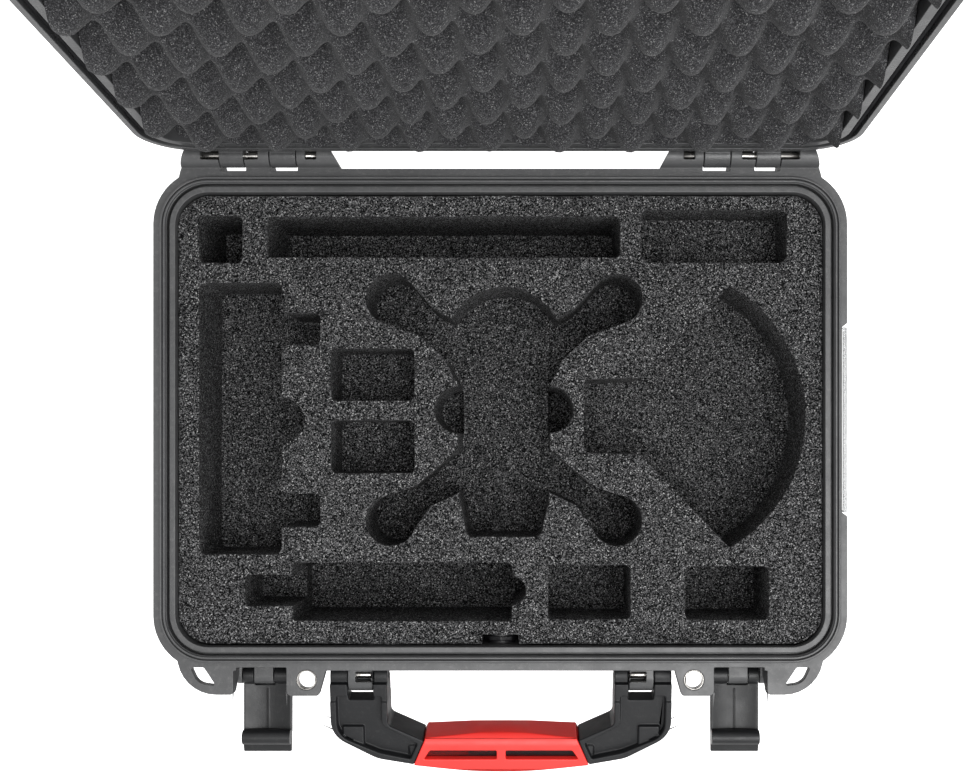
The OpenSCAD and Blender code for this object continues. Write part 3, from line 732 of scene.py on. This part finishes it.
def round_edges(mesh: bpy.types.Mesh, edge: EdgeBreak) -> None:
    """Rounds the sharp edges of a closed mesh in place.

    Args:
        mesh: The mesh.
        edge: How far, and which edges count as sharp.
    """
    bm = bmesh.new()
    bm.from_mesh(mesh)
    bmesh.ops.remove_doubles(bm, verts=bm.verts, dist=0.002 * MM)
    bmesh.ops.dissolve_limit(
        bm,
        angle_limit=math.radians(0.4),
        verts=bm.verts[:],
        edges=bm.edges[:],
        use_dissolve_boundaries=False,
    )
    limit = math.radians(edge.sharp)
    sharp = [e for e in bm.edges if e.is_manifold and e.calc_face_angle() > limit]
    bmesh.ops.bevel(
        bm,
        geom=sharp,
        offset=edge.width,
        offset_type="OFFSET",
        segments=edge.segments,
        profile=0.5,
        affect="EDGES",
        clamp_overlap=False,
        miter_outer="ARC",
        loop_slide=True,
    )
    bmesh.ops.remove_doubles(bm, verts=bm.verts, dist=0.002 * MM)
    bm.to_mesh(mesh)
    bm.free()
    mesh.shade_smooth()
    mesh.set_sharp_from_angle(angle=math.radians(40))


def rounded_loop(width: float, depth: float, radius: float, steps: int = 14) -> list[tuple[Vector, Vector]]:
    """Points round a rectangle with round corners, each with its outward direction.

    Args:
        width: Size along X.
        depth: Size along Y.
        radius: Corner radius.
        steps: Points on each corner.

    Returns:
        The points and their directions, anticlockwise.
    """
    loop = []
    corners = ((1, 1), (-1, 1), (-1, -1), (1, -1))
    for turn, (x, y) in enumerate(corners):
        centre = Vector((x * (width / 2 - radius), y * (depth / 2 - radius), 0))
        for step in range(steps + 1):
            angle = math.pi / 2 * (turn + step / steps)
            out = Vector((math.cos(angle), math.sin(angle), 0))
            loop.append((centre + radius * out, out))
    return loop


def swept_ring(loop: list[tuple[Vector, Vector]], section: list[tuple[float, float]]) -> bpy.types.Mesh:
    """Sweeps a closed section round a closed loop.

    Args:
        loop: Points with their outward directions.
        section: Points of the section, outwards and up.

    Returns:
        The ring's mesh.
    """
    verts = [tuple(p + a * out + Vector((0, 0, b))) for p, out in loop for a, b in section]
    n, m = len(loop), len(section)
    faces = [
        (i * m + j, (i + 1) % n * m + j, (i + 1) % n * m + (j + 1) % m, i * m + (j + 1) % m)
        for i in range(n)
        for j in range(m)
    ]
    mesh = bpy.data.meshes.new("ring")
    mesh.from_pydata(verts, [], faces)
    return mesh


def tube(node: bpy.types.Object, opened: Matrix, chamfer: float = 0.35 * MM) -> bpy.types.Mesh:
    """A round sleeve with broken edges, in the place of an upright CAD sleeve.

    Args:
        node: The CAD sleeve.
        opened: The move from where the sleeve stands upright to where it is.
        chamfer: How far its edges are broken.

    Returns:
        The sleeve's mesh.
    """
    upright = opened.inverted()
    places = [upright @ v.co for v in node.data.vertices]
    low = Vector([min(p[k] for p in places) for k in range(3)])
    high = Vector([max(p[k] for p in places) for k in range(3)])
    middle = (low + high) / 2
    outer = (high.x - low.x) / 2
    inner = min(math.hypot(p.x - middle.x, p.y - middle.y) for p in places)
    wall, rise = outer - inner, high.z - low.z
    section = [
        (-wall, chamfer),
        (-wall + chamfer, 0),
        (-chamfer, 0),
        (0, chamfer),
        (0, rise - chamfer),
        (-chamfer, rise),
        (-wall + chamfer, rise),
        (-wall, rise - chamfer),
    ]
    mesh = swept_ring(rounded_loop(2 * outer, 2 * outer, outer), section)
    mesh.transform(opened @ Matrix.Translation((middle.x, middle.y, low.z)))
    mesh.shade_smooth()
    mesh.set_sharp_from_angle(angle=math.radians(35))
    return mesh


def lathe(profile: list[tuple[float, float]], sides: int = 40) -> bpy.types.Mesh:
    """A solid of revolution along X.

    Args:
        profile: Points as place along X and radius, the first and last on the axis.
        sides: Points round each ring.

    Returns:
        The solid's mesh.
    """
    bm = bmesh.new()
    rings = []
    for x, r in profile:
        if r == 0:
            rings.append([bm.verts.new((x, 0, 0))])
        else:
            angles = [2 * math.pi * k / sides for k in range(sides)]
            rings.append([bm.verts.new((x, r * math.cos(a), r * math.sin(a))) for a in angles])
    for low, high in zip(rings, rings[1:]):
        for k in range(sides):
            corners = [ring[j % len(ring)] for ring, j in ((low, k), (high, k), (high, k + 1), (low, k + 1))]
            unique = list(dict.fromkeys(corners))
            if len(unique) > 2:
                bm.faces.new(unique)
    bmesh.ops.recalc_face_normals(bm, faces=bm.faces)
    mesh = bpy.data.meshes.new("lathe")
    bm.to_mesh(mesh)
    bm.free()
    mesh.shade_smooth()
    mesh.set_sharp_from_angle(angle=math.radians(50))
    return mesh


# ---------------------------------------------------------------------------------------------
# Sub-assemblies
# ---------------------------------------------------------------------------------------------


@dataclass
class BaseCase:
    """The base: its shell, valve, padlock sleeves and name tag."""

    shop: Workshop
    shell_edge: EdgeBreak = EdgeBreak(0.45 * MM)
    fitting_edge: EdgeBreak = EdgeBreak(0.4 * MM)

    def shell(self) -> None:
        """Makes the base shell."""
        shell = self.shop.softened("base_shell", "base_case_shell", Finish.SHELL, self.shell_edge)
        self.shop.install(shell, "base", "base_shell")

    def fittings(self) -> None:
        """Makes the valve and the name tag."""
        kinds = {
            "valve_body": Finish.FITTING,
            "valve_nut": Finish.FITTING,
            "valve_seal": Finish.SEAL,
            "valve_disc": Finish.FELT,
            "name_tag_card": Finish.CARD,
            "name_tag_window": Finish.WINDOW,
        }
        for node, finish in kinds.items():
            edge = EdgeBreak(0.12 * MM) if node == "name_tag_card" else self.fitting_edge
            piece = self.shop.softened(node, node + "_piece", finish, edge)
            self.shop.install(piece, "base", node)

    def build(self) -> None:
        """Makes every piece."""
        self.shell()
        self.fittings()
        for side in Side:
            node = f"padlock_sleeve_{side.word}"
            sleeve = self.shop.piece(node + "_tube", tube(self.shop.nodes[node], Matrix()), Finish.STEEL)
            self.shop.install(sleeve, "base", node)


@dataclass
class CutFoam:
    """The foam in the base: the insert with its pockets and the pad below it."""

    shop: Workshop
    lip: EdgeBreak = EdgeBreak(0.7 * MM, segments=3, sharp=35.0)
    grid: float = 9 * MM
    swell: float = 0.35 * MM
    swell_scale: float = 38.0
    press_x: float = 1.1 * MM
    press_y: float = 0.6 * MM
    ramp: float = 8 * MM
    seed: int = 5

    def sliced(self, mesh: bpy.types.Mesh) -> None:
        """Cuts a mesh along an even grid, so that it can bend softly.

        Args:
            mesh: The mesh.
        """
        bm = bmesh.new()
        bm.from_mesh(mesh)
        for axis in range(3):
            places = [v.co[axis] for v in bm.verts]
            low, high = min(places), max(places)
            count = int((high - low) / self.grid)
            for k in range(1, count + 1):
                origin, normal = Vector(), Vector()
                origin[axis] = low + (high - low) * k / (count + 1)
                normal[axis] = 1
                geometry = bm.verts[:] + bm.edges[:] + bm.faces[:]
                bmesh.ops.bisect_plane(bm, geom=geometry, plane_co=origin, plane_no=normal, dist=1e-6)
        bm.to_mesh(mesh)
        bm.free()

    def swollen(self, mesh: bpy.types.Mesh) -> None:
        """Moves each point a little with slow noise, as cut foam relaxes.

        Args:
            mesh: The mesh.
        """
        for vertex in mesh.vertices:
            place = vertex.co * self.swell_scale + Vector((self.seed, 0, 0))
            vertex.co += noise.noise_vector(place) * self.swell

    def pressed(self, mesh: bpy.types.Mesh) -> None:
        """Spreads the outer edge towards the leaning walls, fully at the top and not at all below.

        Args:
            mesh: The mesh.
        """
        places = [v.co.copy() for v in mesh.vertices]
        low, high = min(p.z for p in places), max(p.z for p in places)
        for axis, reach in ((0, self.press_x), (1, self.press_y)):
            edge = max(abs(p[axis]) for p in places)
            for vertex, place in zip(mesh.vertices, places):
                share = min(1.0, max(0.0, (abs(place[axis]) - edge) / self.ramp + 1))
                rise = (place.z - low) / (high - low)
                vertex.co[axis] += math.copysign(share * rise * reach, place[axis])

    def insert(self) -> None:
        """Makes the insert."""
        foam = self.shop.softened("foam_insert", "cut_foam_insert", Finish.FOAM, self.lip)
        self.sliced(foam.data)
        self.swollen(foam.data)
        self.pressed(foam.data)
        self.shop.install(foam, "base", "foam_insert")

    def pad(self) -> None:
        """Makes the pad."""
        pad = self.shop.softened("foam_base_pad", "bottom_foam_pad", Finish.PAD, self.lip)
        self.sliced(pad.data)
        self.shop.install(pad, "base", "foam_base_pad")

    def build(self) -> None:
        """Makes both layers."""
        self.insert()
        self.pad()


@dataclass
class EggCrate:
    """The convoluted foam in the lid, one closed sheet with staggered peaks."""

    shop: Workshop
    pitch_x: float = 37.9 * MM
    pitch_y: float = 44.8 * MM
    first_x: float = -4.8 * MM
    first_y: float = 112.0 * MM
    depth: float = 26 * MM
    proud: float = 5.5 * MM
    step: float = 2.4 * MM
    corner: float = 16 * MM
    bulge: float = 1.7 * MM
    bulge_power: int = 15
    fullness: float = 1.3
    unevenness: float = 1.3 * MM
    unevenness_scale: float = 45.0
    seed: int = 11

    def height(self, x: float, y: float) -> float:
        """How far the foam rises over its valleys, from 0 to 1.

        Args:
            x: Place along X.
            y: Place along the shut lid's Y.

        Returns:
            The height as a share of the depth.
        """
        wave_x = math.cos(2 * math.pi * (x - self.first_x) / self.pitch_x)
        wave_y = math.cos(2 * math.pi * (y - self.first_y) / self.pitch_y)
        return 1 - (0.5 - 0.5 * wave_x * wave_y) ** self.fullness

    def sheet(self, low: Vector, high: Vector) -> bpy.types.Mesh:
        """Builds the closed sheet in the shut lid.

        Args:
            low: Lowest corner of the space it fills.
            high: Highest corner of that space.

        Returns:
            The mesh, with its peaks downwards.
        """
        half_w, half_d = (high.x - low.x) / 2, (high.y - low.y) / 2
        mid_y = (high.y + low.y) / 2
        columns, rows = int(2 * half_w / self.step), int(2 * half_d / self.step)
        bm = bmesh.new()
        front, back = [], []
        for j in range(rows + 1):
            y = mid_y + half_d * (2 * j / rows - 1)
            over = max(0.0, abs(y - mid_y) - (half_d - self.corner))
            width = half_w - self.corner + math.sqrt(max(0.0, self.corner**2 - over**2))
            lower, upper = [], []
            for i in range(columns + 1):
                x = width * (2 * i / columns - 1)
                out_x = self.bulge * (x / half_w) ** self.bulge_power
                out_y = self.bulge * ((y - mid_y) / half_d) ** self.bulge_power
                spot = Vector((x * self.unevenness_scale, y * self.unevenness_scale, self.seed))
                wobble = noise.noise_vector(spot)
                rise = self.height(x + wobble.x * self.unevenness, y + wobble.y * self.unevenness)
                tip = low.z - self.proud + self.depth * (1 - rise) + wobble.z * self.unevenness * 0.6
                lower.append(bm.verts.new((x + out_x, y + out_y, max(tip, low.z - self.proud))))
                upper.append(bm.verts.new((x, y, high.z)))
            front.append(lower)
            back.append(upper)
        for j in range(rows):
            for i in range(columns):
                bm.faces.new((front[j][i], front[j + 1][i], front[j + 1][i + 1], front[j][i + 1]))
                bm.faces.new((back[j][i], back[j][i + 1], back[j + 1][i + 1], back[j + 1][i]))
        rim = [(0, i) for i in range(columns + 1)]
        rim += [(j, columns) for j in range(1, rows + 1)]
        rim += [(rows, i) for i in range(columns - 1, -1, -1)]
        rim += [(j, 0) for j in range(rows - 1, 0, -1)]
        for (a, b), (c, d) in zip(rim, rim[1:] + rim[:1]):
            bm.faces.new((front[a][b], front[c][d], back[c][d], back[a][b]))
        bmesh.ops.recalc_face_normals(bm, faces=bm.faces)
        mesh = bpy.data.meshes.new("egg_crate")
        bm.to_mesh(mesh)
        bm.free()
        mesh.shade_smooth()
        mesh.set_sharp_from_angle(angle=math.radians(55))
        return mesh

    def build(self) -> None:
        """Makes the sheet and opens it with the lid."""
        opened = self.shop.opened()
        shut = opened.inverted()
        places = [shut @ v.co for v in self.shop.nodes["lid_foam"].data.vertices]
        low = Vector([min(p[k] for p in places) for k in range(3)])
        high = Vector([max(p[k] for p in places) for k in range(3)])
        mesh = self.sheet(low, high)
        mesh.transform(opened)
        foam = self.shop.piece("lid_egg_crate", mesh, Finish.CRATE)
        self.shop.install(foam, "lid", "lid_foam")
        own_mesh(foam)


@dataclass
class LidCase:
    """The lid: its shell, seal and padlock sleeves."""

    shop: Workshop
    shell_edge: EdgeBreak = EdgeBreak(0.45 * MM)

    def shell(self) -> None:
        """Makes the lid's shell."""
        shell = self.shop.softened("lid_shell", "lid_case_shell", Finish.LID, self.shell_edge)
        self.shop.install(shell, "lid", "lid_shell")

    def seal(self) -> None:
        """Makes the seal as a bead with a round face."""
        opened = self.shop.opened()
        shut = opened.inverted()
        places = [shut @ v.co for v in self.shop.nodes["lid_seal"].data.vertices]
        low = Vector([min(p[k] for p in places) for k in range(3)])
        high = Vector([max(p[k] for p in places) for k in range(3)])
        tangent = min(abs(p.x) for p in places)
        straight = [abs(p.y) for p in places if abs(p.x) < tangent + 0.1 * MM]
        band = max(straight) - min(straight)
        half = band / 2 - 0.1 * MM
        crown = [(half * math.cos(a), -half * 0.8 * math.sin(a)) for a in np.linspace(0, math.pi, 9)]
        rise = high.z - low.z - 0.8 * half
        section = [(half, rise)] + crown + [(-half, rise)]
        width, depth = high.x - low.x - band, high.y - low.y - band
        loop = rounded_loop(width, depth, width / 2 - tangent)
        mesh = swept_ring(loop, section)
        mesh.transform(opened @ Matrix.Translation((0, 0, high.z - rise - 0.05 * MM)))
        mesh.shade_smooth()
        mesh.set_sharp_from_angle(angle=math.radians(60))
        bead = self.shop.piece("lid_seal_bead", mesh, Finish.SEAL)
        self.shop.install(bead, "lid", "lid_seal")

    def build(self) -> None:
        """Makes every piece."""
        self.shell()
        self.seal()
        for side in Side:
            node = f"lid_sleeve_{side.word}"
            mesh = tube(self.shop.nodes[node], self.shop.opened())
            sleeve = self.shop.piece(node + "_tube", mesh, Finish.STEEL)
            self.shop.install(sleeve, "lid", node)


@dataclass
class Pins:
    """The steel pins of the hinges, the latches and the handle."""

    shop: Workshop
    chamfer: float = 0.5 * MM
    kinds: tuple[str, ...] = field(default=("hinge_pin", "latch_pin", "handle_pin"))

    def pin(self, node: str) -> None:
        """Makes one pin with broken ends.

        Args:
            node: The CAD node that it stands for.
        """
        low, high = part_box(node)
        middle = (low + high) / 2
        half, radius = (high.x - low.x) / 2, (high.z - low.z) / 2
        profile = [
            (-half, 0),
            (-half, radius - self.chamfer),
            (-half + self.chamfer, radius),
            (half - self.chamfer, radius),
            (half, radius - self.chamfer),
            (half, 0),
        ]
        mesh = lathe(profile)
        mesh.transform(Matrix.Translation(middle))
        pin = self.shop.piece(node + "_rod", mesh, Finish.STEEL)
        self.shop.install(pin, "base", node)

    def build(self) -> None:
        """Makes every pin."""
        for kind in self.kinds:
            for side in Side:
                self.pin(f"{kind}_{side.word}")


@dataclass
class Latches:
    """The two claw latches."""

    shop: Workshop
    edge: EdgeBreak = EdgeBreak(0.45 * MM, segments=2)

    def build(self) -> None:
        """Makes both latches."""
        for side in Side:
            node = f"latch_{side.word}"
            lever = self.shop.softened(node, node + "_lever", Finish.LATCH, self.edge)
            self.shop.install(lever, node, node)


@dataclass
class Handle:
    """The folding handle: its frame and its grip."""

    shop: Workshop
    frame_edge: EdgeBreak = EdgeBreak(0.9 * MM, segments=3)
    grip_edge: EdgeBreak = EdgeBreak(0.7 * MM, segments=3)

    def build(self) -> None:
        """Makes the frame and the grip."""
        frame = self.shop.softened("handle_frame", "handle_arms", Finish.HANDLE, self.frame_edge)
        self.shop.install(frame, "handle", "handle_frame")
        grip = self.shop.softened("handle_grip", "handle_red_grip", Finish.GRIP, self.grip_edge)
        self.shop.install(grip, "handle", "handle_grip")


# ---------------------------------------------------------------------------------------------
# Studio
# ---------------------------------------------------------------------------------------------


@dataclass(frozen=True)
class SoftBox:
    """A square soft light: its place, its side in metres and its power in watts."""

    name: str
    place: tuple[float, float, float]
    size: float
    power: float


@dataclass
class Studio:
    """A white floor, soft lights and a camera that looks straight down."""

    shop: Workshop
    aim: tuple[float, float, float] = (0.0, 0.0, 0.1)
    softboxes: tuple[SoftBox, ...] = (
        SoftBox("overhead", (0.45, -0.4, 2.2), 1.3, 30),
        SoftBox("front_right", (1.3, -1.5, 1.6), 0.9, 12),
    )
    floor: float = 40.0
    camera_height: float = 0.750
    camera_x: float = 0.0205
    camera_y: float = -0.017
    lens: float = 49.57
    shift_x: float = -0.0533
    shift_y: float = 0.0644
    room_light: float = 0.85

    def backdrop(self) -> None:
        """Lays the floor."""
        half = self.floor / 2
        mesh = bpy.data.meshes.new("studio_floor")
        corners = [(-half, -half, 0), (half, -half, 0), (half, half, 0), (-half, half, 0)]
        mesh.from_pydata(corners, [], [(0, 1, 2, 3)])
        floor = self.shop.piece("studio_floor", mesh, Finish.PAPER)
        floor.location.z = -0.2 * MM

    def light(self, softbox: SoftBox) -> None:
        """Adds one soft light, turned to the case.

        Args:
            softbox: The light.
        """
        data = bpy.data.lights.new(softbox.name, "AREA")
        data.shape = "SQUARE"
        data.size = softbox.size
        data.energy = softbox.power
        lamp = bpy.data.objects.new(softbox.name, data)
        bpy.context.scene.collection.objects.link(lamp)
        place = Vector(softbox.place)
        lamp.location = place
        lamp.rotation_euler = (Vector(self.aim) - place).to_track_quat("-Z", "Y").to_euler()

    def lights(self) -> None:
        """Adds the lights and the bright room."""
        for softbox in self.softboxes:
            self.light(softbox)
        world = bpy.data.worlds.new("white_room")
        world.use_nodes = True
        background = world.node_tree.nodes["Background"]
        background.inputs["Color"].default_value = (1, 1, 1, 1)
        background.inputs["Strength"].default_value = self.room_light
        bpy.context.scene.world = world
        bpy.context.scene.view_settings.view_transform = "Standard"

    def camera(self) -> None:
        """Sets the camera over the open base."""
        data = bpy.data.cameras.new("camera")
        data.lens = self.lens
        data.sensor_width = 36
        data.shift_x, data.shift_y = self.shift_x, self.shift_y
        camera = bpy.data.objects.new("camera", data)
        bpy.context.scene.collection.objects.link(camera)
        rim = self.shop.joints["lid_hinge"]["pos_m"][2]
        camera.location = (self.camera_x, self.camera_y, rim + self.camera_height)
        bpy.context.scene.camera = camera

    def build(self) -> None:
        """Sets up the studio."""
        self.backdrop()
        self.lights()
        self.camera()


def main() -> None:
    """Builds the visual model and the studio."""
    logging.basicConfig(level=logging.INFO, format="%(name)s: %(message)s")
    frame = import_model()
    shop = Workshop(frame)
    for assembly in (Studio, BaseCase, CutFoam, LidCase, EggCrate, Pins, Latches, Handle):
        LOG.info("building %s", assembly.__name__)
        assembly(shop).build()


if __name__ == "__main__":
    main()
